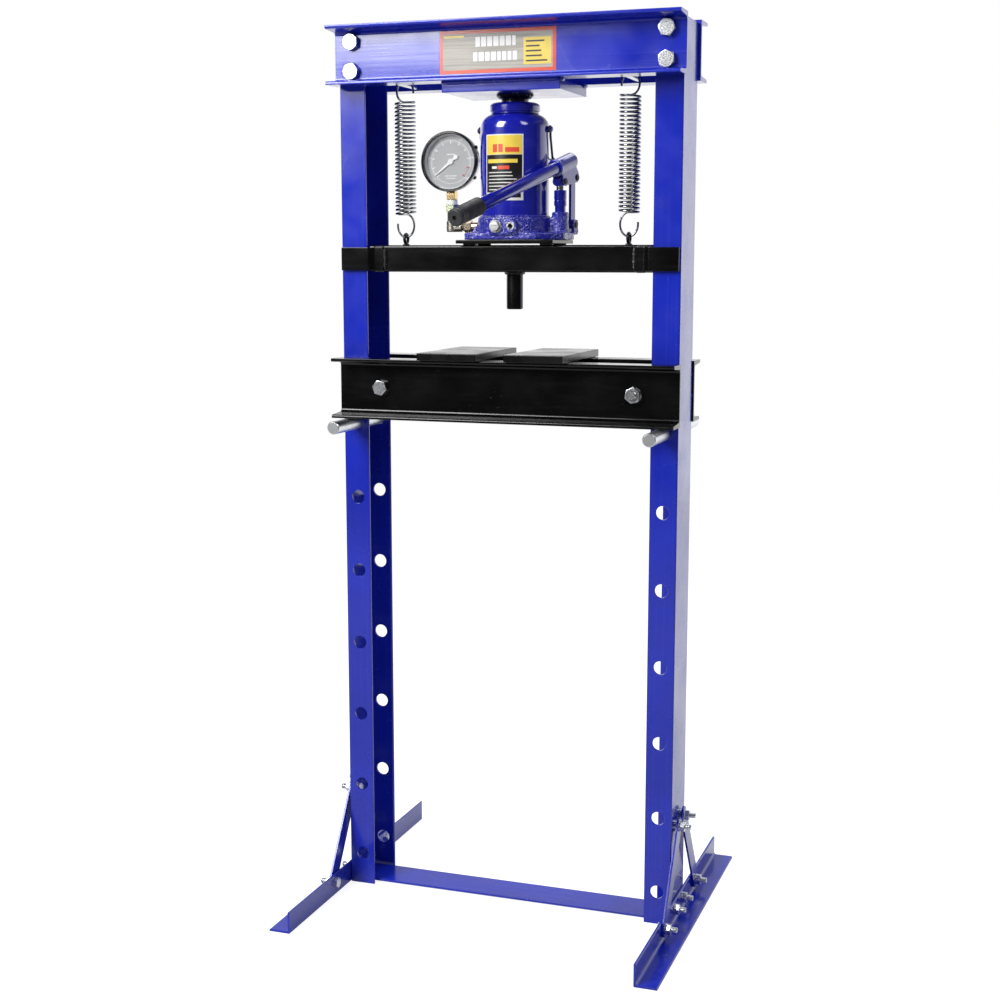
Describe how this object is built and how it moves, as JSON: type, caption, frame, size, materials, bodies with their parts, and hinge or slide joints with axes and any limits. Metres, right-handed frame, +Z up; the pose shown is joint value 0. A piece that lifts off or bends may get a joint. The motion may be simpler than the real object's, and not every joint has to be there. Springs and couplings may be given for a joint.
{
  "type": "hydraulic shop press",
  "caption": "Floor-standing H-frame hydraulic press with a bottle jack on a sprung crossbar, a pressure gauge, a pinned height-adjustable bed and loose bed plates",
  "frame": {"origin": "on the floor, at the middle of the press's overall width and depth", "axes": "+X to the right across the press, +Y to its rear, +Z up"},
  "size_m": [0.6966, 0.61, 1.56],
  "materials": {
    "frame_paint": "gloss royal blue enamel with a slight orange peel",
    "jack_paint": "gloss royal blue enamel over a turned tank and a rough casting",
    "black_paint": "gloss black enamel",
    "zinc_steel": "bright zinc plate",
    "spring_steel": "bright zinc-plated wire",
    "ground_chrome": "ground and polished",
    "dark_steel": "blackened steel",
    "bare_casting": "bare machined metal",
    "gauge_steel": "satin steel case",
    "gauge_bezel_black": "semi-gloss black",
    "gauge_dial_grey": "matt grey printed dial",
    "gauge_pointer_white": "matt white",
    "gauge_glass": "clear",
    "brass": "plain turned brass",
    "grip_rubber": "ribbed matt rubber"
  },
  "bodies": {
    "frame": {"left_post": "frame_paint", "right_post": "frame_paint", "front_top_beam": "frame_paint", "rear_top_beam": "frame_paint", "head_plate": "frame_paint", "left_foot": "frame_paint", "right_foot": "frame_paint", "left_front_strut": "frame_paint", "right_front_strut": "frame_paint", "left_rear_strut": "frame_paint", "right_rear_strut": "frame_paint", "lower_brace": "frame_paint", "left_upper_beam_bolt": "zinc_steel", "left_lower_beam_bolt": "zinc_steel", "right_upper_beam_bolt": "zinc_steel", "right_lower_beam_bolt": "zinc_steel", "left_hanger_rod": "zinc_steel", "right_hanger_rod": "zinc_steel", "left_spring": "spring_steel", "right_spring": "spring_steel"},
    "bed": {"bed_front_channel": "black_paint", "bed_rear_channel": "black_paint", "left_bed_bolt": "zinc_steel", "right_bed_bolt": "zinc_steel", "left_bed_spacer": "black_paint", "right_bed_spacer": "black_paint"},
    "left_pin": {"left_bed_pin": "zinc_steel"},
    "right_pin": {"right_bed_pin": "zinc_steel"},
    "left_plate": {"left_bed_plate": "black_paint"},
    "right_plate": {"right_bed_plate": "black_paint"},
    "press_head": {"crossbar": "black_paint", "press_rod": "black_paint", "jack_plate": "black_paint", "left_eye_bolt": "dark_steel", "right_eye_bolt": "dark_steel", "jack_base": "jack_paint", "jack_reservoir": "jack_paint", "jack_cylinder": "dark_steel", "jack_cap": "jack_paint", "pump_barrel": "dark_steel", "pump_link": "dark_steel", "link_lower_pin": "zinc_steel", "gauge_case": "gauge_steel", "gauge_bezel": "gauge_bezel_black", "gauge_lens": "gauge_glass", "gauge_dial": "gauge_dial_grey", "gauge_stem": "brass", "gauge_elbow": "brass"},
    "ram": {"jack_ram": "ground_chrome", "jack_saddle": "dark_steel"},
    "handle": {"handle_socket": "jack_paint", "handle_bar": "jack_paint", "handle_grip": "grip_rubber", "plunger_pin": "zinc_steel", "link_upper_pin": "zinc_steel"},
    "plunger": {"pump_plunger": "ground_chrome"},
    "valve": {"release_valve": "bare_casting"},
    "pointer": {"gauge_pointer": "gauge_pointer_white"},
    "bail": {"jack_bail": "dark_steel"}
  },
  "joints": [
    {"name": "bed_height", "type": "slide", "parent": "frame", "child": "bed", "axis": [0, 0, 1], "range_m": [-0.813, 0]},
    {"name": "left_pin_pull", "type": "slide", "parent": "bed", "child": "left_pin", "axis": [0, -1, 0], "range_m": [0, 0.2]},
    {"name": "right_pin_pull", "type": "slide", "parent": "bed", "child": "right_pin", "axis": [0, -1, 0], "range_m": [0, 0.2]},
    {"name": "left_plate_slide", "type": "slide", "parent": "bed", "child": "left_plate", "axis": [1, 0, 0], "range_m": [-0.06, 0.014]},
    {"name": "right_plate_slide", "type": "slide", "parent": "bed", "child": "right_plate", "axis": [1, 0, 0], "range_m": [0, 0.06]},
    {"name": "press_stroke", "type": "slide", "parent": "frame", "child": "press_head", "axis": [0, 0, -1], "range_m": [0, 0.13], "stiffness_N_per_m": 3000, "springref_m": -0.1, "deforming": ["left_spring", "right_spring"]},
    {"name": "ram_extend", "type": "slide", "parent": "press_head", "child": "ram", "axis": [0, 0, 1], "range_m": [0, 0.13]},
    {"name": "handle_pump", "type": "hinge", "parent": "press_head", "child": "handle", "pos_m": [0.09083, 0.0417, 1.3028], "axis": [-0.9659, 0.2588, 0], "range_deg": [0, 38]},
    {"name": "plunger_stroke", "type": "slide", "parent": "press_head", "child": "plunger", "axis": [0, 0, 1], "range_m": [0, 0.0253]},
    {"name": "valve_turn", "type": "hinge", "parent": "press_head", "child": "valve", "pos_m": [-0.013, -0.066, 1.2185], "axis": [0, -1, 0], "range_deg": [0, 180]},
    {"name": "pointer_turn", "type": "hinge", "parent": "press_head", "child": "pointer", "pos_m": [-0.1145, -0.014, 1.331], "axis": [0, 1, 0], "range_deg": [0, 270], "stiffness_Nm_per_rad": 0.002, "springref_deg": -17.19},
    {"name": "bail_swing", "type": "hinge", "parent": "press_head", "child": "bail", "pos_m": [0, 0, 1.383], "axis": [1, 0, 0], "range_deg": [0, 60]}
  ],
  "couplings": [
    {"joint": "ram_extend", "follows": "press_stroke", "ratio": 1},
    {"joint": "plunger_stroke", "follows": "handle_pump", "m_per_rad": 0.038}
  ]
}
